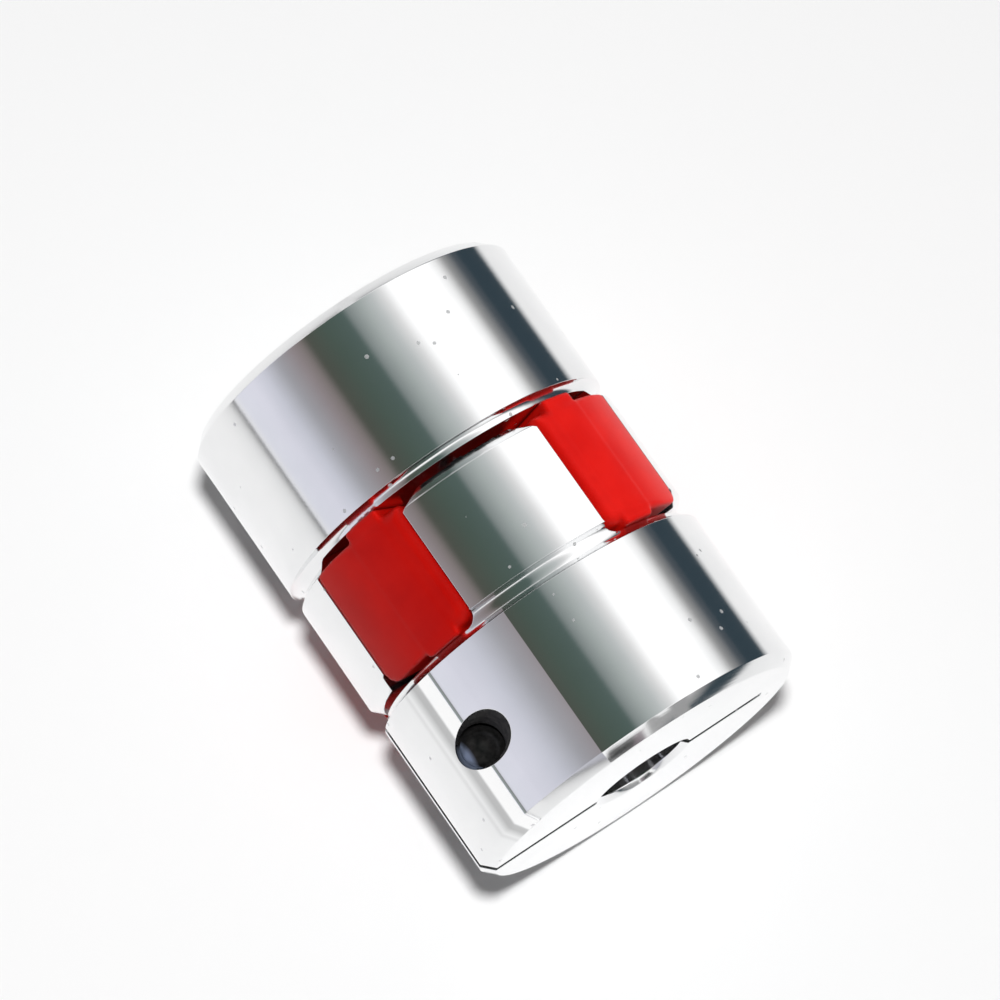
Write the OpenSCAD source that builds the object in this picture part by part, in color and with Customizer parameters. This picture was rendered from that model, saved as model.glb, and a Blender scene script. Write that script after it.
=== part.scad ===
// Clamp-hub jaw coupling with an elastomer spider.
// Frame: origin at the centre of the coupling axis, midway between the two hubs.
// +X runs along the axis towards the drive hub, +Z points up, and the jaws of the drive hub lie on +Z and -Z.
// A hub is drawn about the Z axis first: its outer end face is at +Z, and its jaws lie on +X and -X.

/* [Coupling] */
// Outside diameter of the hubs, the jaws and the spider
outer_d = 30; // [30:0.5:34]
// Overall length over both hub end faces
overall_l = 42; // [40:0.5:50]
// Axial space between the two hub faces that hold the spider
hub_gap = 12; // [11:0.25:13]

/* [Hub] */
// Shaft bore diameter
bore_d = 8; // [5:0.5:10]
// Chamfer at both mouths of the bore
bore_chamfer = 0.45; // [0.2:0.05:0.6]
// Chamfer on the outer edge of the end face
end_chamfer = 0.95; // [0.4:0.05:1.2]
// Depth of the turned round-bottomed groove that runs round the hub at the roots of the jaws
groove_depth = 0.75; // [0.3:0.05:0.8]
// Width of the groove at the outside
groove_w = 1.7; // [1.6:0.1:1.8]
// Distance of the groove's deepest line from the hub face, on the jaws' side
groove_set = 0.1; // [0.05:0.05:0.2]

/* [Jaws] */
// Angle that one jaw takes up, in degrees
jaw_angle = 49.6; // [46:0.2:52]
// Radius of the concave inner side of a jaw
jaw_inner_r = 7.4; // [7:0.1:8]
// Gap between a jaw's tip and the face of the other hub
tip_gap = 0.7; // [0.4:0.1:1.2]
// Chamfer on the outer edge of a jaw's tip
tip_chamfer = 0.9; // [0.4:0.05:1.2]
// Width of the bevel that takes off each side corner of the tip
corner_w = 1.8; // [1:0.1:2.2]
// Height of the same bevel, along the coupling's axis
corner_h = 1.1; // [0.6:0.1:1.5]
// Fillet between a jaw's side and the face of its hub
root_fillet = 1.5; // [0.8:0.1:1.8]

/* [Clamp] */
// Width of the slit that lets the hub close on the shaft
slit_w = 1; // [0.6:0.1:1.4]
// How far the slit runs past the bore, as a share of the hub's radius
slit_end_share = 0.76; // [0.6:0.02:0.8]
// Distance from the coupling's axis to the clamp screw's axis
screw_offset = 10.7; // [10.5:0.1:11]
// Diameter of the screw thread, M4
thread_d = 4; // [3.6:0.1:4]
// Length of the screw under its head
screw_l = 10; // [8:0.5:10]
// Diameter of the low screw head
head_d = 7; // [6:0.1:7]
// Height of the screw head
head_h = 2.8; // [2.2:0.1:2.8]
// Width across flats of the hexagon socket
socket_af = 2.5; // [2:0.1:3]
// Depth of the hexagon socket
socket_h = 1.8; // [1.2:0.1:2]
// Distance from the slit's middle plane to the seat under the screw head
seat_x = 1.9; // [1.7:0.1:2]
// Radial running clearance between the thread and the tapped hole
thread_clearance = 0.08; // [0.05:0.01:0.1]
// Radial clearance round the thread in the plain hole under the head
plain_clearance = 0.3; // [0.2:0.05:0.5]
// Radial clearance round the screw head in its counterbore
head_clearance = 0.25; // [0.2:0.05:0.4]

/* [Spider] */
// Gap between the lobes' end faces and the driven hub, bridged by the nubs
driven_recess = 0.85; // [0.6:0.05:1.5]
// Gap between the lobes' end faces and the drive hub, bridged by the nubs
drive_recess = 0.45; // [0.3:0.05:1.2]
// Radius of the spider's centre hole
spider_hole_r = 5.25; // [4.5:0.25:5.5]
// Outer radius of the ring that joins the lobes
web_r = 7.25; // [6.8:0.05:7.3]
// Height by which the ring stays below the lobes at each end
web_step = 0.6; // [0.2:0.1:1.2]
// Rounding of each lobe's corners on the drive hub's side, seen from outside
drive_corner_r = 1.4; // [0.6:0.1:2]
// Rounding of each lobe's corners on the driven hub's side
driven_corner_r = 0.5; // [0.3:0.1:2]
// Rounding of each lobe's outer edges
lobe_edge_r = 0.3; // [0.2:0.05:0.8]
// Angle that one nub takes up, in degrees
nub_angle = 13.4; // [8:0.2:16]
// Angle from a lobe's middle to its nub's middle, in degrees
nub_shift = 6.2; // [0:0.2:8]
// Radius at which a nub starts
nub_inner_r = 8.6; // [8:0.1:10]
// Radius at which a nub ends, just inside the lobes' outside
nub_outer_r = 14.9; // [14:0.1:14.9]
// Gap kept between the spider and the metal round it
spider_clearance = 0.04; // [0.02:0.01:0.1]

/* [Hidden] */
$fn = 96;
outer_r = outer_d / 2;
bore_r = bore_d / 2;
end_z = overall_l / 2;
face_z = hub_gap / 2;
tip_z = tip_gap - face_z;
groove_z = face_z - groove_set;
groove_r = (groove_w * groove_w / 4 + groove_depth * groove_depth) / (2 * groove_depth);
slit_end = slit_end_share * outer_r;
screw_z = (face_z + end_z) / 2;
thread_r = thread_d / 2;
thread_end_chamfer = 0.5;
head_edge = 0.3;
lobe_half = 45 - jaw_angle / 2;
lobe_top = face_z - drive_recess;
lobe_bottom = driven_recess - face_z;
nub_top = face_z - spider_clearance;
cut = 1;
fillet_sink = 0.03;
metal = [0.8, 0.81, 0.82];
screw_black = [0.13, 0.14, 0.15];
spider_red = [0.8, 0.09, 0.06];

// Turned outline of one hub and its jaws, with the edge chamfers and the groove
module turned_envelope() {
    rotate_extrude() {
        difference() {
            polygon([
                [0, tip_z],
                [outer_r - tip_chamfer, tip_z],
                [outer_r, tip_z + tip_chamfer],
                [outer_r, end_z - end_chamfer],
                [outer_r - end_chamfer, end_z],
                [0, end_z]
            ]);
            translate([outer_r - groove_depth + groove_r, groove_z]) {
                circle(groove_r, $fn = 48);
            }
        }
    }
}

// Sector about +X with flat radial sides, from z = low to z = high
module wedge(half_angle, low, high) {
    reach = 2 * outer_r;
    translate([0, 0, low]) {
        linear_extrude(height = high - low) {
            polygon([
                [0, 0],
                [reach * cos(half_angle), -reach * sin(half_angle)],
                [reach * cos(half_angle), reach * sin(half_angle)]
            ]);
        }
    }
}

// Carries a flat outline out along both radial sides of a sector.
// In the outline, x is the distance out from the side and y is the height z.
module along_both_sides(half_angle, from_r) {
    for (side = [0, 1]) {
        mirror([0, side, 0]) {
            rotate([0, 0, half_angle]) {
                translate([from_r, 0, 0]) {
                    rotate([90, 0, 90]) {
                        linear_extrude(height = outer_r + cut - from_r) {
                            children();
                        }
                    }
                }
            }
        }
    }
}

// Outline of a concave fillet between the side and the hub face above it.
// The arc's centre lies slightly inside the corner, so that both ends meet the metal at a small angle.
module fillet_outline(r) {
    centre = r - fillet_sink;
    difference() {
        translate([-cut, face_z - centre]) {
            square([r + cut, r + cut]);
        }
        translate([centre, face_z - centre]) {
            circle(r);
        }
    }
}

// Outline of the corner that a bevel takes off at the tip
module corner_outline() {
    polygon([
        [-2 * corner_w, tip_z - corner_h],
        [corner_w, tip_z - corner_h],
        [corner_w, tip_z + 2 * corner_h]
    ]);
}

// One jaw on +X, reaching a little into the hub body
module jaw() {
    difference() {
        union() {
            wedge(jaw_angle / 2, tip_z, face_z + cut);
            along_both_sides(jaw_angle / 2, jaw_inner_r - cut) {
                fillet_outline(root_fillet);
            }
        }
        along_both_sides(jaw_angle / 2, jaw_inner_r - 2 * cut) {
            corner_outline();
        }
        translate([0, 0, tip_z - cut]) {
            cylinder(r = jaw_inner_r, h = face_z - tip_z + cut);
        }
    }
}

// Shaft bore with a chamfer at each mouth
module shaft_bore() {
    rotate_extrude() {
        polygon([
            [0, face_z - cut],
            [bore_r + bore_chamfer + cut, face_z - cut],
            [bore_r, face_z + bore_chamfer],
            [bore_r, end_z - bore_chamfer],
            [bore_r + bore_chamfer + cut, end_z + cut],
            [0, end_z + cut]
        ]);
    }
}

// Slit through the bore: open at +Y, and ending inside the metal on -Y
module clamp_slit() {
    translate([-slit_w / 2, -slit_end, face_z - cut]) {
        cube([slit_w, slit_end + outer_r + cut, end_z - face_z + 2 * cut]);
    }
}

// Places a screw or its hole: the head's seat is at the origin and the thread runs up +Z
module at_screw() {
    translate([-seat_x, screw_offset, screw_z]) {
        rotate([0, 90, 0]) {
            children();
        }
    }
}

// Counterbore, plain hole and tapped hole for the clamp screw
module screw_hole() {
    at_screw() {
        translate([0, 0, -outer_r]) {
            cylinder(r = head_d / 2 + head_clearance, h = outer_r);
        }
        translate([0, 0, -cut]) {
            cylinder(r = thread_r + plain_clearance, h = seat_x + cut);
        }
        cylinder(r = thread_r + thread_clearance, h = outer_r + seat_x);
    }
}

// Clamp hub with its two jaws
module hub() {
    difference() {
        intersection() {
            turned_envelope();
            union() {
                translate([0, 0, face_z]) {
                    cylinder(r = outer_r + cut, h = end_z - face_z);
                }
                for (turn = [0, 180]) {
                    rotate([0, 0, turn]) {
                        jaw();
                    }
                }
            }
        }
        shaft_bore();
        clamp_slit();
        screw_hole();
    }
}

// Low-head cap screw with a hexagon socket; the thread is drawn as a plain shank
module clamp_screw() {
    at_screw() {
        difference() {
            rotate_extrude() {
                polygon([
                    [0, -head_h],
                    [head_d / 2 - head_edge, -head_h],
                    [head_d / 2, head_edge - head_h],
                    [head_d / 2, 0],
                    [thread_r, 0],
                    [thread_r, screw_l - thread_end_chamfer],
                    [thread_r - thread_end_chamfer, screw_l],
                    [0, screw_l]
                ]);
            }
            translate([0, 0, -head_h - cut]) {
                cylinder(d = socket_af / cos(30), h = socket_h + cut, $fn = 6);
            }
        }
    }
}

// Round disc outline of the lobes, with both outer edges rounded
module lobe_envelope(low, high) {
    rim = outer_r - lobe_edge_r;
    rotate_extrude() {
        translate([0, low]) {
            square([rim, high - low]);
        }
        translate([0, low + lobe_edge_r]) {
            square([outer_r, high - low - 2 * lobe_edge_r]);
        }
        for (z = [low + lobe_edge_r, high - lobe_edge_r]) {
            translate([rim, z]) {
                circle(lobe_edge_r);
            }
        }
    }
}

// Outline of what a round corner takes off a side at height z; up is +1 or -1
module round_corner_outline(r, z, up) {
    difference() {
        translate([-r, up > 0 ? z - r : z - cut]) {
            square([r + cut, r + cut]);
        }
        translate([-r, z - up * r]) {
            circle(r);
        }
    }
}

// One lobe on +X: its flat sides stay clear of the jaws on either side
module lobe() {
    clear_angle = spider_clearance / outer_r * 180 / PI;
    half = lobe_half - clear_angle;
    difference() {
        intersection() {
            lobe_envelope(lobe_bottom, lobe_top);
            wedge(half, lobe_bottom, lobe_top);
        }
        along_both_sides(half, jaw_inner_r) {
            round_corner_outline(drive_corner_r, lobe_top, 1);
        }
        along_both_sides(half, jaw_inner_r) {
            round_corner_outline(driven_corner_r, lobe_bottom, -1);
        }
    }
}

// Spacer nub that keeps a lobe off both hub faces
module nub() {
    intersection() {
        wedge(nub_angle / 2, -nub_top, nub_top);
        translate([0, 0, -nub_top]) {
            difference() {
                cylinder(r = nub_outer_r, h = 2 * nub_top);
                translate([0, 0, -cut]) {
                    cylinder(r = nub_inner_r, h = hub_gap + cut);
                }
            }
        }
    }
}

// Elastomer spider: four lobes round a ring, with the nubs set towards the drive hub's jaws
module spider_body() {
    difference() {
        union() {
            for (jaw_turn = [0, 180], side = [-1, 1]) {
                rotate([0, 0, jaw_turn + side * 45]) {
                    lobe();
                }
                rotate([0, 0, jaw_turn + side * (45 - nub_shift)]) {
                    nub();
                }
            }
            translate([0, 0, lobe_bottom + web_step]) {
                cylinder(r = web_r, h = lobe_top - lobe_bottom - 2 * web_step);
            }
        }
        translate([0, 0, -face_z]) {
            cylinder(r = spider_hole_r, h = hub_gap);
        }
    }
}

// Turns what is drawn about Z onto the coupling's axis, at the drive end
module drive_end() {
    rotate([180, 0, 0]) {
        rotate([0, 90, 0]) {
            children();
        }
    }
}

// The same at the driven end, a quarter turn round the axis so that the jaws interlock
module driven_end() {
    rotate([-90, 0, 0]) {
        rotate([0, 0, 180]) {
            drive_end() {
                children();
            }
        }
    }
}

module drive_hub() {
    color(metal) drive_end() hub();
}

module driven_hub() {
    color(metal) driven_end() hub();
}

module spider() {
    color(spider_red) drive_end() spider_body();
}

module drive_clamp_screw() {
    color(screw_black) drive_end() clamp_screw();
}

module driven_clamp_screw() {
    color(screw_black) driven_end() clamp_screw();
}

drive_hub();
driven_hub();
spider();
drive_clamp_screw();
driven_clamp_screw();
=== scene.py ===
"""Looks of the jaw coupling: turned aluminium hubs, a moulded red spider and black clamp screws."""
import math

import bpy
import numpy as np
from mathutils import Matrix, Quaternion, Vector


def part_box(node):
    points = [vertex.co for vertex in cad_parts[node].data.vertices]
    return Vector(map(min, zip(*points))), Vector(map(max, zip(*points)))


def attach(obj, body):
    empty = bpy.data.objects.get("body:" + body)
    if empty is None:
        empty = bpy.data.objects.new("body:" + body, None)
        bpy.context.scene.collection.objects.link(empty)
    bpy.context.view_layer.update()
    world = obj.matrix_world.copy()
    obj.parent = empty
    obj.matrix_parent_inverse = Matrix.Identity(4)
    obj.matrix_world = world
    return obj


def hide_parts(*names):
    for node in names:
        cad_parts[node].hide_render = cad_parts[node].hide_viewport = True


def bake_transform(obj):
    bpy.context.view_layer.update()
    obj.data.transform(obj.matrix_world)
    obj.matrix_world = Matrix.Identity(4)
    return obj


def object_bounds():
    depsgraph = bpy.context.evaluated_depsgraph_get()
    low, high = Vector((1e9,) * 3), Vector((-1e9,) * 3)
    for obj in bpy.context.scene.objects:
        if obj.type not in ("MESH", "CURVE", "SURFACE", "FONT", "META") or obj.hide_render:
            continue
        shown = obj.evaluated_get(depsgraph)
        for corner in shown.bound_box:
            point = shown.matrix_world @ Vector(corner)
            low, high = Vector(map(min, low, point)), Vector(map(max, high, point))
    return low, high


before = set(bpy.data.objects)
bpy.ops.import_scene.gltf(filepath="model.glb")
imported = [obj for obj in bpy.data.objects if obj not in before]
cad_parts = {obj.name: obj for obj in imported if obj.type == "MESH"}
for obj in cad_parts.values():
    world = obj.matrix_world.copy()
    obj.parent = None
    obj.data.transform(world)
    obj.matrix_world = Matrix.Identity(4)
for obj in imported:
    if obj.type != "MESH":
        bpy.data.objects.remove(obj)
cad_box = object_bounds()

MM = 0.001

# ---------------------------------------------------------------- sizes, in mm, from the frame

OUTER_R = cad_box[1].z / MM
FLOOR_Z = cad_box[0].z
SPIDER_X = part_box("spider")[1].x / MM

# ---------------------------------------------------------------- node helpers


def add(tree, kind, inputs=None, **settings):
    """One shader node. Inputs are values or sockets by name or number; settings are its properties."""
    made = tree.nodes.new("ShaderNode" + kind)
    for name, value in settings.items():
        setattr(made, name, value)
    for name, value in (inputs or {}).items():
        if isinstance(value, bpy.types.NodeSocket):
            tree.links.new(value, made.inputs[name])
        else:
            made.inputs[name].default_value = value
    return made


def calc(tree, operation, a, b=0.0, clamp=False):
    """Result of one Math node."""
    return add(tree, "Math", {0: a, 1: b}, operation=operation, use_clamp=clamp).outputs[0]


def scaled(tree, value, factor, offset, clamp=False):
    """A value times a factor plus an offset."""
    made = add(tree, "Math", {0: value, 1: factor, 2: offset}, operation="MULTIPLY_ADD", use_clamp=clamp)
    return made.outputs[0]


def ramp(tree, value, stops):
    """Colour that a value picks from stops of (position, colour)."""
    made = add(tree, "ValToRGB", {"Fac": value})
    elements = made.color_ramp.elements
    while len(elements) < len(stops):
        elements.new(0.5)
    for element, (position, colour) in zip(elements, stops):
        element.position = position
        element.color = (*colour, 1)
    return made.outputs["Color"]


def grey(level):
    return (level, level, level)


def noise(tree, vector, scale, detail=2.0):
    """Noise between 0 and 1 over a vector."""
    made = add(tree, "TexNoise", {"Vector": vector, "Scale": scale, "Detail": detail})
    return made.outputs["Fac"]


def new_material(name):
    """An empty node material and its tree, with its output node."""
    material = bpy.data.materials.new(name)
    material.use_nodes = True
    tree = material.node_tree
    tree.nodes.clear()
    return material, tree, add(tree, "OutputMaterial")


def millimetres(tree):
    """The object's own coordinates in mm, which are the frame's, as every piece sits at its origin."""
    place = add(tree, "TexCoord").outputs["Object"]
    return add(tree, "VectorMath", {0: place, "Scale": 1 / MM}, operation="SCALE").outputs[0]


def round_axis(tree, place):
    """(distance along the coupling's axis, distance from it, angle round it in radians)."""
    parts = add(tree, "SeparateXYZ", {0: place}).outputs
    across = add(tree, "CombineXYZ", {1: parts[1], 2: parts[2]}).outputs[0]
    radius = add(tree, "VectorMath", {0: across}, operation="LENGTH").outputs["Value"]
    return parts[0], radius, calc(tree, "ARCTAN2", parts[1], parts[2])


# ---------------------------------------------------------------- materials


def true_round(tree, place, radius):
    """The surface's direction, exact on the round outside, where the mesh has only narrow flats."""
    outward = add(tree, "VectorMath", {0: place, 1: (0, 1, 1)}, operation="MULTIPLY").outputs[0]
    outward = add(tree, "VectorTransform", {0: outward}, vector_type="NORMAL", convert_from="OBJECT",
                  convert_to="WORLD").outputs[0]
    outward = add(tree, "VectorMath", {0: outward}, operation="NORMALIZE").outputs[0]
    surface = add(tree, "NewGeometry").outputs
    facing = add(tree, "VectorMath", {0: outward, 1: surface["True Normal"]}, operation="DOT_PRODUCT")
    aligned = calc(tree, "GREATER_THAN", facing.outputs["Value"], 0.998)
    outside = calc(tree, "GREATER_THAN", radius, OUTER_R - 0.03)
    use = calc(tree, "MULTIPLY", aligned, outside)
    return add(tree, "Mix", {0: use, 4: surface["Normal"], 5: outward}, data_type="VECTOR").outputs[1]


# The span round the axis, in degrees, of the drive hub's swell and its painted streaks.
STREAK_FROM = -70
STREAK_SPAN = 55
SWELL_FROM = -39.5
SWELL_SPAN = 22.4
GROOVE_REACH = 1.1


def at_angle(degrees):
    """Ramp position of an angle round the axis, from straight up towards +Y, over the span of the drive
    hub's swell and painted streaks.
    """
    return (degrees - STREAK_FROM) / STREAK_SPAN


def turned_aluminium():
    """Fine-turned aluminium: grooves run round the axis, so reflections smear along it.

    The drive hub's outside, beyond the groove by its jaws, also has a swell in its normals, and lighter and
    darker axial streaks in its colour that are painted reflections.
    """
    material, tree, output = new_material("turned_aluminium")
    place = millimetres(tree)
    along, radius, angle = round_axis(tree, place)
    on_drive = calc(tree, "GREATER_THAN", along, SPIDER_X + 0.4)
    on_drive = calc(tree, "MULTIPLY", on_drive, calc(tree, "GREATER_THAN", radius, OUTER_R - GROOVE_REACH))
    turn = scaled(tree, angle, 180 / math.pi / STREAK_SPAN, at_angle(0))
    round_way = calc(tree, "MULTIPLY", angle, 0.8)
    grooves = add(tree, "CombineXYZ", {0: along, 1: radius, 2: round_way}).outputs[0]
    fine = noise(tree, grooves, 9.0, 3.0)
    clouds = noise(tree, place, 0.22, 3.0)
    colour = ramp(tree, clouds, [(0.3, (0.85, 0.855, 0.86)), (0.7, (0.90, 0.902, 0.905))])
    # Painted reflections: lighter and darker axial bands, up to 1.15 times the metal's colour, multiplied
    # into the drive hub's outside.
    painted_streak_light = ramp(tree, turn, [
        (at_angle(-63.5), grey(1.0)),
        (at_angle(-62), grey(0.88)),
        (at_angle(-60.5), grey(1.0)),
        (at_angle(-57), grey(0.62)),
        (at_angle(-55), grey(0.66)),
        (at_angle(-54), grey(1.15)),
        (at_angle(-48.8), grey(1.15)),
        (at_angle(-48.2), grey(0.8)),
        (at_angle(-46.8), grey(1.0)),
    ])
    colours = {"Fac": on_drive, "Color1": colour, "Color2": painted_streak_light}
    colour = add(tree, "MixRGB", colours, blend_type="MULTIPLY").outputs[0]
    nicks = add(tree, "TexVoronoi", {"Vector": place, "Scale": 0.42}).outputs["Distance"]
    nick = calc(tree, "LESS_THAN", nicks, 0.075)
    roughness = scaled(tree, fine, 0.08, 0.08)
    roughness = calc(tree, "MAXIMUM", roughness, calc(tree, "MULTIPLY", nick, 0.75))
    swell = scaled(tree, turn, STREAK_SPAN / SWELL_SPAN, (STREAK_FROM - SWELL_FROM) / SWELL_SPAN, clamp=True)
    swell = calc(tree, "POWER", swell, 1.7)
    ridge = ramp(tree, turn, [
        (at_angle(-54.2), grey(0.0)),
        (at_angle(-48.8), grey(0.53)),
        (at_angle(-47.8), grey(0.0)),
    ])
    plain = true_round(tree, place, radius)
    swell = add(tree, "Bump", {"Strength": 1.0, "Distance": 0.00055, "Normal": plain,
                               "Height": calc(tree, "ADD", swell, ridge)}).outputs[0]
    shape = add(tree, "Mix", {0: on_drive, 4: plain, 5: swell}, data_type="VECTOR").outputs[1]
    bump = add(tree, "Bump", {"Strength": 0.12, "Distance": 0.00002, "Height": fine, "Normal": shape})
    tangent = add(tree, "Tangent", direction_type="RADIAL", axis="X").outputs[0]
    shader = add(tree, "BsdfPrincipled", {
        "Base Color": colour,
        "Metallic": 1.0,
        "Roughness": roughness,
        "Anisotropic": 0.6,
        "Anisotropic Rotation": 0.25,
        "Tangent": tangent,
        "Normal": bump.outputs[0],
    })
    tree.links.new(shader.outputs[0], output.inputs["Surface"])
    return material


def moulded_red():
    """Red polyurethane with a slight mottle and a soft sheen, and a faint painted red glow of its own that
    stands in for light scattering through it.
    """
    material, tree, output = new_material("moulded_red")
    place = millimetres(tree)
    clouds = noise(tree, place, 0.35, 4.0)
    colour = ramp(tree, clouds, [(0.3, (0.35, 0.002, 0.001)), (0.7, (0.41, 0.004, 0.002))])
    grain = noise(tree, place, 14.0, 2.0)
    roughness = scaled(tree, grain, 0.2, 0.32)
    bump = add(tree, "Bump", {"Strength": 0.25, "Distance": 0.00003, "Height": grain}).outputs[0]
    shader = add(tree, "BsdfPrincipled", {
        "Base Color": colour,
        "Roughness": roughness,
        "Normal": bump,
        "Specular IOR Level": 0.17,
        # Painted light: a faint red glow standing in for light that scatters through the rubber.
        "Emission Color": (0.35, 0.01, 0.006, 1),
        "Emission Strength": 0.07,
        "Subsurface Weight": 0.3,
        "Subsurface Radius": (0.001, 0.0002, 0.0001),
        "Subsurface Scale": 1.0,
    })
    tree.links.new(shader.outputs[0], output.inputs["Surface"])
    return material


# Height from which a screw tip gets its painted highlight, and the lean of its surface towards -Y that it
# needs.
TIP_FROM = 6.9
TIP_LEAN = -0.38


def black_oxide(name, shine):
    """Oiled black oxide on steel. With some shine, a screw's tip gets a painted bluish highlight on its side
    towards -Y.
    """
    material, tree, output = new_material(name)
    place = millimetres(tree)
    patches = noise(tree, place, 1.6, 3.0)
    colour = ramp(tree, patches, [(0.35, grey(0.018)), (0.7, (0.045, 0.043, 0.042))])
    parts = add(tree, "SeparateXYZ", {0: place}).outputs
    high = calc(tree, "MAXIMUM", parts[1], parts[2])
    # Painted highlight: the tip's surface that faces -Y gets a lighter bluish colour.
    at_tip = calc(tree, "MULTIPLY", calc(tree, "SUBTRACT", high, TIP_FROM), 2.5, clamp=True)
    lean = add(tree, "SeparateXYZ", {0: add(tree, "TexCoord").outputs["Normal"]}).outputs[1]
    painted_tip_highlight = calc(tree, "MULTIPLY", calc(tree, "SUBTRACT", TIP_LEAN, lean), 8.0, clamp=True)
    painted_tip_highlight = calc(tree, "MULTIPLY", calc(tree, "MULTIPLY", painted_tip_highlight, at_tip), shine)
    colours = {"Fac": painted_tip_highlight, "Color1": colour, "Color2": (0.30, 0.36, 0.50, 1)}
    colour = add(tree, "MixRGB", colours).outputs[0]
    roughness = scaled(tree, patches, 0.25, 0.22)
    bump = add(tree, "Bump", {"Strength": 0.3, "Distance": 0.00002, "Height": noise(tree, place, 20.0)})
    shader = add(tree, "BsdfPrincipled", {
        "Base Color": colour,
        "Metallic": 0.75,
        "Roughness": roughness,
        "Normal": bump.outputs[0],
    })
    tree.links.new(shader.outputs[0], output.inputs["Surface"])
    return material


# ---------------------------------------------------------------- meshes


def rounded_and(a, b, r):
    """Distance to what two distances share, with the edge between them rounded to radius r."""
    return np.minimum(np.maximum(a, b), -r) + np.hypot(np.maximum(a + r, 0), np.maximum(b + r, 0))


def rounded_or(a, b, r):
    """Distance to either shape, with the inner corner between them filled to radius r."""
    return np.maximum(np.minimum(a, b), r) - np.hypot(np.maximum(r - a, 0), np.maximum(r - b, 0))


# The lobes stop short of the hubs by the nubs' height. Corners and angles are in mm and degrees.
LOBE_TOP = SPIDER_X - 0.41
LOBE_BOTTOM = 0.81 - SPIDER_X
NEAR_CORNER = 1.4
FAR_CORNER = 0.5
LOBE_HALF = 20.05
NUB_HALF = 6.7
NUB_SHIFT = 6.2
NUB_INNER_R = 8.6
NUB_OUTER_R = 14.9
RING_R = 7.25
BORE_R = 5.25


def from_drive_jaw(y, z):
    """Angle in degrees, 0 to 90, between a point round the axis and the middle of the nearer drive jaw."""
    return np.abs((np.degrees(np.arctan2(y, z)) + 90) % 180 - 90)


def spider_distance(points):
    """Distance in mm from the spider's surface, negative inside it."""
    x, y, z = points[..., 0], points[..., 1], points[..., 2]
    r = np.hypot(y, z)
    turn = from_drive_jaw(y, z) - 45
    middle = (LOBE_TOP + LOBE_BOTTOM) / 2
    end = np.abs(x - middle) - (LOBE_TOP - LOBE_BOTTOM) / 2
    side = r * np.sin(np.radians(np.abs(turn) - LOBE_HALF))
    corner = np.where(x > middle, NEAR_CORNER, FAR_CORNER)
    edge = np.interp(turn, (-14, 10), (1.1, 0.2))
    lobe = rounded_and(rounded_and(side, end, corner), r - OUTER_R, edge)
    ring = rounded_and(r - RING_R, end + 0.6, 0.4)
    nub_side = r * np.sin(np.radians(np.abs(turn + NUB_SHIFT) - NUB_HALF))
    nub_flat = np.maximum(r - NUB_OUTER_R, NUB_INNER_R - r)
    nub = rounded_and(rounded_and(nub_side, np.abs(x) - SPIDER_X, 0.3), nub_flat, 0.3)
    body = rounded_or(rounded_or(lobe, ring, 0.12), nub, 0.25)
    return rounded_and(body, BORE_R - r, 0.3)


def surface_net(distance, low, high, cell):
    """Vertices and faces of the closed mesh where distance is zero, one vertex in each cell it crosses."""
    axes = [np.arange(low[k], high[k] + cell, cell) for k in range(3)]
    grid = np.stack(np.meshgrid(*axes, indexing="ij"), -1)
    value = distance(grid)
    inside = value < 0
    cells = tuple(n - 1 for n in inside.shape)
    count = np.zeros(cells, np.int8)
    for i in (0, 1):
        for j in (0, 1):
            for k in (0, 1):
                count += inside[i:i + cells[0], j:j + cells[1], k:k + cells[2]]
    mixed = (count > 0) & (count < 8)
    number = np.full(cells, -1)
    number[mixed] = np.arange(mixed.sum())
    total = np.zeros((mixed.sum(), 3))
    crossings = np.zeros(mixed.sum())
    faces = []
    for axis in range(3):
        one, two = (axis + 1) % 3, (axis + 2) % 3
        here = np.take(inside, range(cells[axis]), axis)
        there = np.take(inside, range(1, cells[axis] + 1), axis)
        at = np.argwhere(here != there)
        at = at[(at[:, one] > 0) & (at[:, two] > 0) & (at[:, one] < cells[one]) & (at[:, two] < cells[two])]
        ahead = at.copy()
        ahead[:, axis] += 1
        a, b = value[tuple(at.T)], value[tuple(ahead.T)]
        share = (a / (a - b))[:, None]
        crossing = grid[tuple(at.T)] * (1 - share) + grid[tuple(ahead.T)] * share
        ring = []
        for back_one, back_two in ((0, 0), (1, 0), (1, 1), (0, 1)):
            cell_at = at.copy()
            cell_at[:, one] -= back_one
            cell_at[:, two] -= back_two
            ids = number[tuple(cell_at.T)]
            np.add.at(total, ids, crossing)
            np.add.at(crossings, ids, 1)
            ring.append(ids)
        ring = np.stack(ring, 1)
        flip = a > 0
        ring[flip] = ring[flip][:, ::-1]
        faces.append(ring)
    points = total / crossings[:, None]
    nudge = cell * 0.02
    for _ in range(4):
        gap = distance(points)
        steps = nudge * np.eye(3)
        slope = np.stack([distance(points + step) - distance(points - step) for step in steps], -1)
        slope /= 2 * nudge
        points -= gap[:, None] * slope / np.maximum((slope ** 2).sum(-1, keepdims=True), 0.25)
    return points, np.concatenate(faces)


def new_piece(name, points, faces, material, smooth=True):
    """A mesh object from points in mm."""
    mesh = bpy.data.meshes.new(name)
    mesh.from_pydata(np.asarray(points) * MM, [], [[int(corner) for corner in face] for face in faces])
    mesh.update()
    mesh.polygons.foreach_set("use_smooth", [smooth] * len(mesh.polygons))
    mesh.materials.append(material)
    piece = bpy.data.objects.new(name, mesh)
    bpy.context.scene.collection.objects.link(piece)
    return piece


def make_spider(material):
    """The moulded spider, meshed from its distance field in place of the CAD part."""
    reach = OUTER_R + 0.5
    cell = 0.22
    points, faces = surface_net(spider_distance, (-SPIDER_X - 0.5, -reach, -reach),
                                (SPIDER_X + 0.5, reach, reach), cell)
    piece = new_piece("moulded_spider", points, faces, material)
    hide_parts("spider")
    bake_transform(piece)
    return piece


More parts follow.
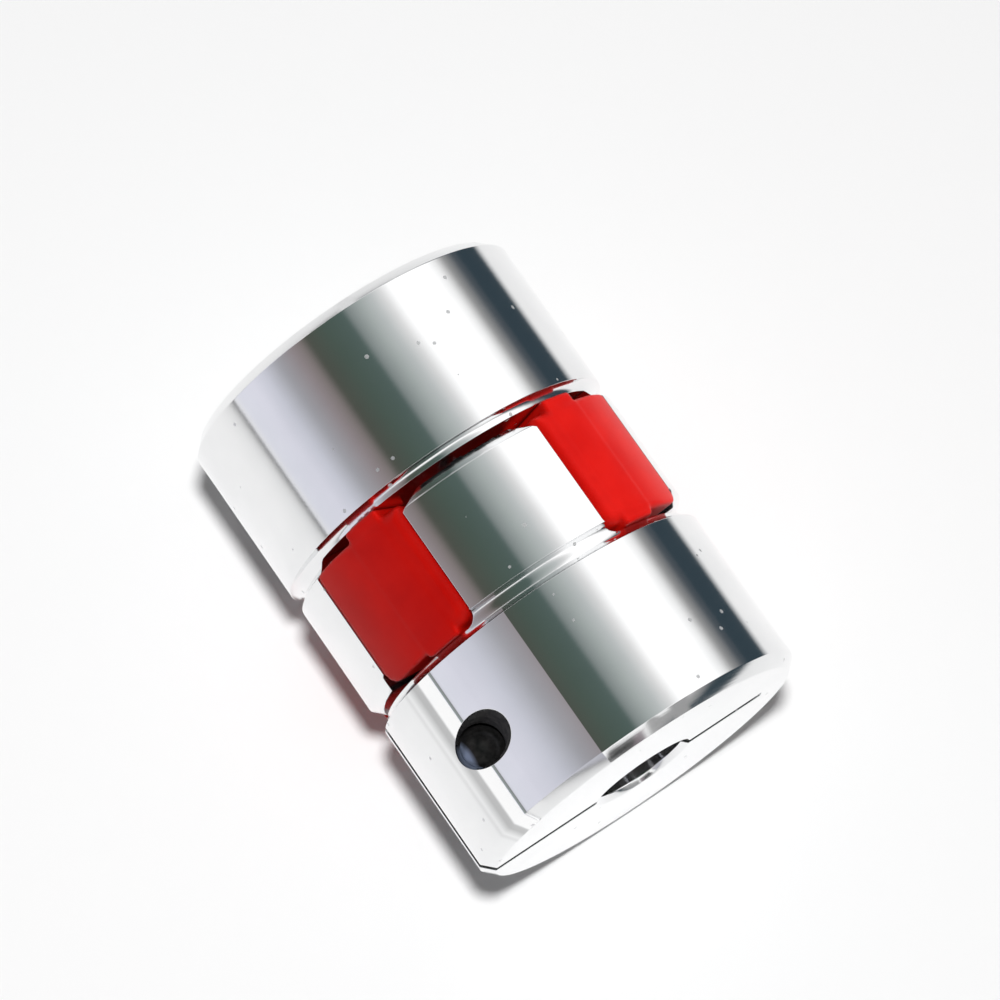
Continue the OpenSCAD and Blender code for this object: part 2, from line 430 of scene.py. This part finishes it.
# A low-head M4 cap screw and its tapped hole, in mm.
THREAD_PITCH = 0.7
THREAD_MINOR = 1.6
THREAD_MAJOR = 1.96
HEAD_H = 2.8
HEAD_EDGE = 0.35
SOCKET_HALF = 1.25
SOCKET_H = 1.8
TIP_CURVE = 0.24
TAPPED_R = 2.08
TAPPED_TURNS = 9
TURN_STEPS = 40
SHORTEST_RUN = 9


def screw_frame(node):
    """Length of a clamp screw below its head, and what turns (u, v, w) about its axis into frame points.

    w runs from the seat under the head to the tip.
    """
    low, high = (np.array(corner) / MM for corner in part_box(node))
    middle = (low + high) / 2
    if node == "drive_clamp_screw":
        seat = low[2] + HEAD_H
        return high[2] - seat, lambda u, v, w: np.stack([middle[0] + u, middle[1] + v, seat + w], -1)
    seat = low[1] + HEAD_H
    return high[1] - seat, lambda u, v, w: np.stack([middle[0] - u, seat + w, middle[2] + v], -1)


def hexagon(angle, half):
    """Radius of a hexagon of this half width at an angle in radians."""
    return half / np.cos((angle + math.pi / 6) % (math.pi / 3) - math.pi / 6)


def make_screw(node, material):
    """A low-head cap screw: socket floor, socket, head, threaded shank and rounded tip, in one skin."""
    length, to_frame = screw_frame(node)
    head_r = (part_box(node)[1].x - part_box(node)[0].x) / MM / 2
    count = 48
    angle = np.arange(count) * 2 * math.pi / count
    one = np.ones(count)
    rings = [
        (0.02 * one, (SOCKET_H - HEAD_H + 0.35) * one),
        (hexagon(angle, SOCKET_HALF), (SOCKET_H - HEAD_H) * one),
        (hexagon(angle, SOCKET_HALF), (0.2 - HEAD_H) * one),
        (hexagon(angle, SOCKET_HALF) + 0.2, -HEAD_H * one),
    ]
    for step in np.radians(np.linspace(0, 90, 5)):
        rings.append(((head_r - HEAD_EDGE * (1 - math.sin(step))) * one,
                      (HEAD_EDGE * (1 - math.cos(step)) - HEAD_H) * one))
    rings += [(head_r * one, -0.15 * one), ((head_r - 0.15) * one, 0 * one), (THREAD_MINOR * one, 0 * one)]
    for w in np.arange(0.1, length + 0.001, THREAD_PITCH / 12):
        crest = np.abs(2 * ((w / THREAD_PITCH - angle / (2 * math.pi)) % 1) - 1)
        thread = THREAD_MINOR + (THREAD_MAJOR - THREAD_MINOR) * np.clip(1.4 * crest - 0.2, 0, 1)
        tip = math.sqrt(max(length - w, 0.0001) / TIP_CURVE)
        rings.append((np.minimum(thread * min(1, 0.85 + w / 4), tip), w * one))
    radius = np.array([r for r, _ in rings])
    height = np.array([w for _, w in rings])
    points = to_frame(radius * np.cos(angle), radius * np.sin(angle), height).reshape(-1, 3)
    faces = [range(count)[::-1]]
    for ring in range(len(rings) - 1):
        for k in range(count):
            here, after = ring * count + k, ring * count + (k + 1) % count
            faces.append((here, after, after + count, here + count))
    faces.append(range((len(rings) - 1) * count, len(rings) * count))
    piece = new_piece(node + "_steel", points, faces, material)
    piece.data.set_sharp_from_angle(angle=math.radians(40))
    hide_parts(node)
    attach(piece, node)


def make_tapped_thread(node, body, material):
    """The part of a tapped hole's thread beyond the screw's tip, cut off just below the hub's outside."""
    length, to_frame = screw_frame(node)
    runs = [[]]
    for turn in np.arange(0, TAPPED_TURNS, 1 / TURN_STEPS):
        w = length - 0.5 + turn * THREAD_PITCH
        angle = turn * 2 * math.pi
        ring = [(TAPPED_R + 0.03, -0.2), (TAPPED_R - 0.22, 0.0), (TAPPED_R + 0.03, 0.2)]
        across, up = math.cos(angle), math.sin(angle)
        corners = np.array([to_frame(r * across, r * up, w + rise) for r, rise in ring])
        if np.hypot(corners[:, 1], corners[:, 2]).max() < OUTER_R - 0.04:
            runs[-1].append(corners)
        elif runs[-1]:
            runs.append([])
    points, faces = [], []
    for run in runs:
        if len(run) < SHORTEST_RUN:
            continue
        base = len(points)
        for corners in run:
            points.extend(corners)
        for k in range(len(run) - 1):
            for a, b in ((0, 1), (1, 2), (2, 0)):
                at = base + 3 * k
                faces.append((at + a, at + b, at + 3 + b, at + 3 + a))
        faces.append((base + 2, base + 1, base))
        last = base + 3 * (len(run) - 1)
        faces.append((last, last + 1, last + 2))
    piece = new_piece(body + "_thread", points, faces, material)
    piece.data.set_sharp_from_angle(angle=math.radians(40))
    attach(piece, body)


def dress_hub(node, material):
    """Gives a CAD hub its metal, and breaks its sharp edges as a deburring tool does.

    Its faces are joined and its narrow flats merged first, so that only real edges are broken.
    """
    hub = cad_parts[node]
    hub.data.materials.clear()
    hub.data.materials.append(material)
    hub.data.polygons.foreach_set("use_smooth", [True] * len(hub.data.polygons))
    seam = hub.modifiers.new("join_faces", "WELD")
    seam.merge_threshold = 0.002 * MM
    flat = hub.modifiers.new("merge_flats", "DECIMATE")
    flat.decimate_type = "DISSOLVE"
    flat.angle_limit = math.radians(0.6)
    weld = hub.modifiers.new("merge_close", "WELD")
    weld.merge_threshold = 0.04 * MM
    edge = hub.modifiers.new("broken_edges", "BEVEL")
    edge.width = 0.045 * MM
    edge.segments = 3
    edge.limit_method = "ANGLE"
    edge.angle_limit = math.radians(28)
    edge.use_clamp_overlap = False
    edge.loop_slide = False
    even = hub.modifiers.new("even_shading", "WEIGHTED_NORMAL")
    even.weight = 60
    even.keep_sharp = False


# ---------------------------------------------------------------- stage


def make_floor():
    """A plain white floor that can be seen from above only, with a painted dark reflection: to mirrored rays
    it is dark beyond 62 mm towards +Y.
    """
    material, tree, output = new_material("white_floor")
    lit = add(tree, "BsdfPrincipled", {"Base Color": (*grey(0.9), 1), "Roughness": 0.9})
    light_path = add(tree, "LightPath").outputs
    place = add(tree, "SeparateXYZ", {0: add(tree, "NewGeometry").outputs["Position"]}).outputs
    # Painted reflection: mirrored rays see the floor beyond 62 mm towards +Y as a dark blue-grey.
    far = calc(tree, "DIVIDE", calc(tree, "SUBTRACT", place[1], 0.062), 0.022, clamp=True)
    painted_dark_reflection = add(tree, "Emission", {"Color": (0.035, 0.055, 0.07, 1)}).outputs[0]
    mirror_dark_share = calc(tree, "MULTIPLY", far, light_path["Is Glossy Ray"])
    both = add(tree, "MixShader", {0: mirror_dark_share, 1: lit.outputs[0], 2: painted_dark_reflection})
    clear = add(tree, "BsdfTransparent")
    under = add(tree, "NewGeometry").outputs["Backfacing"]
    mixed = add(tree, "MixShader", {0: under, 1: both.outputs[0], 2: clear.outputs[0]})
    tree.links.new(mixed.outputs[0], output.inputs["Surface"])
    reach = 2000
    corners = [(-reach, -reach, 0), (reach, -reach, 0), (reach, reach, 0), (-reach, reach, 0)]
    floor = new_piece("floor", corners, [(0, 1, 2, 3)], material, smooth=False)
    floor.location.z = FLOOR_Z


def band(angle):
    """Ramp position of a direction at this many degrees round +X, from straight up towards +Y."""
    return (angle + 180) / 360


def make_world():
    """A light tent: pale to the eye, with the dark gap overhead that turned metal shows as a band."""
    world = bpy.data.worlds.new("light_tent")
    bpy.context.scene.world = world
    world.use_nodes = True
    tree = world.node_tree
    tree.nodes.clear()
    output = add(tree, "OutputWorld")
    way = add(tree, "TexCoord").outputs["Generated"]
    parts = add(tree, "SeparateXYZ", {0: way}).outputs
    turn = calc(tree, "DIVIDE", calc(tree, "ARCTAN2", parts[1], parts[2]), 2 * math.pi)
    turn = calc(tree, "ADD", turn, 0.5)
    tent = ramp(tree, turn, [
        (0.0, grey(0.95)),
        (band(-92), grey(0.92)),
        (band(-86), (0.77, 0.78, 0.86)),
        (band(-72), (0.76, 0.76, 0.85)),
        (band(-62), (0.64, 0.65, 0.73)),
        (band(-50), (0.38, 0.38, 0.41)),
        (band(-38), (0.30, 0.26, 0.27)),
        (band(-32), (0.23, 0.20, 0.195)),
        (band(-27), (0.078, 0.085, 0.070)),
        (band(-14), (0.074, 0.105, 0.088)),
        (band(0), (0.085, 0.125, 0.115)),
        (band(3), (0.23, 0.265, 0.26)),
        (band(12), (0.40, 0.44, 0.43)),
        (band(20), (0.54, 0.57, 0.57)),
        (band(27), grey(0.78)),
        (band(35), grey(1.25)),
        (band(62), grey(1.25)),
        (band(70), grey(0.95)),
        (band(77), grey(0.34)),
        (band(86), (0.075, 0.09, 0.105)),
        (band(95), (0.035, 0.055, 0.07)),
        (1.0, grey(0.95)),
    ])
    sideways = calc(tree, "ABSOLUTE", parts[0])
    share = calc(tree, "DIVIDE", calc(tree, "SUBTRACT", sideways, 0.78), 0.12, clamp=True)
    low = ramp(tree, calc(tree, "ADD", parts[1], 0.5), [
        (0.1, (0.50, 0.50, 0.55)),
        (0.24, (0.45, 0.45, 0.50)),
        (0.28, grey(1.1)),
        (0.34, grey(1.1)),
        (0.36, grey(0.05)),
        (0.53, grey(0.07)),
        (0.56, (0.24, 0.20, 0.22)),
        (0.61, (0.24, 0.20, 0.22)),
        (0.64, grey(1.1)),
        (0.67, grey(0.35)),
    ])
    high = calc(tree, "DIVIDE", calc(tree, "SUBTRACT", parts[2], 0.2), 0.04, clamp=True)
    wall = add(tree, "MixRGB", {"Fac": high, "Color1": low, "Color2": (*grey(1.1), 1)}).outputs[0]
    ends = add(tree, "MixRGB", {"Fac": share, "Color1": tent, "Color2": wall}).outputs[0]
    seen = add(tree, "LightPath").outputs["Is Camera Ray"]
    both = add(tree, "MixRGB", {"Fac": seen, "Color1": ends, "Color2": (*grey(0.93), 1)}).outputs[0]
    dull = add(tree, "LightPath").outputs["Is Diffuse Ray"]
    shown = add(tree, "MixRGB", {"Fac": dull, "Color1": both, "Color2": (*grey(0.12), 1)}).outputs[0]
    light = add(tree, "Background", {"Color": shown, "Strength": 1.0})
    tree.links.new(light.outputs[0], output.inputs["Surface"])


def make_lamp(name, place, size, energy):
    """A round soft lamp that looks at the coupling and that metal doesn't mirror."""
    data = bpy.data.lights.new(name, "AREA")
    data.shape = "DISK"
    data.size = size
    data.energy = energy
    lamp = bpy.data.objects.new(name, data)
    lamp.location = place
    lamp.rotation_mode = "QUATERNION"
    lamp.rotation_quaternion = lamp.location.to_track_quat("Z", "Y")
    lamp.visible_glossy = False
    lamp.visible_camera = False
    bpy.context.scene.collection.objects.link(lamp)
    return lamp


def light_only(lamp, pieces):
    """Limits a lamp to some pieces."""
    lit = bpy.data.collections.new(lamp.name + "_lights")
    for piece in pieces:
        lit.objects.link(piece)
    lamp.light_linking.receiver_collection = lit


# Direction and distance from the frame's origin to the camera, its roll, and how far to the right of
# the origin and above it the camera aims. Lengths are in metres, the lens and film in millimetres.
CAMERA_WAY = Vector((0.1922, -0.1788, 0.9649)).normalized()
CAMERA_AWAY = 0.4
ROLL = math.radians(8.9)
AIM_BESIDE = (0.000519, 0.004671)
LENS = 180.36
FILM_WIDTH = 36


def make_camera():
    """The viewing angle: from above and slightly behind the near end, rolled a little."""
    data = bpy.data.cameras.new("camera")
    data.sensor_width = FILM_WIDTH
    data.lens = LENS
    data.clip_start = 0.01
    data.clip_end = 20
    camera = bpy.data.objects.new("camera", data)
    bpy.context.scene.collection.objects.link(camera)
    camera.rotation_mode = "QUATERNION"
    place = CAMERA_WAY * CAMERA_AWAY
    facing = CAMERA_WAY.to_track_quat("Z", "Y")
    facing = facing @ Quaternion((0, 0, 1), ROLL)
    aim = facing @ Vector((*AIM_BESIDE, 0))
    swing = (-place).rotation_difference(aim - place)
    camera.location = place
    camera.rotation_quaternion = swing @ facing
    bpy.context.scene.camera = camera


# ---------------------------------------------------------------- the model

aluminium = turned_aluminium()
dress_hub("drive_hub", aluminium)
dress_hub("driven_hub", aluminium)
oxide = black_oxide("black_oxide", 0.8)
# Painted shade: the aluminium threads of the tapped holes get a black material, standing in for the shade
# inside the holes.
painted_shade_thread_oxide = black_oxide("painted_shade_thread", 0.0)
for hub in ("drive", "driven"):
    make_screw(hub + "_clamp_screw", oxide)
    make_tapped_thread(hub + "_clamp_screw", hub + "_hub", painted_shade_thread_oxide)
spider = make_spider(moulded_red())
make_floor()
make_world()
make_lamp("overhead", (0.035, -0.036, 0.5), 0.05, 2.5)
light_only(make_lamp("side", (0.0, 0.3, 0.12), 0.15, 1.2), [spider])
make_camera()
bpy.context.scene.view_settings.view_transform = "Standard"
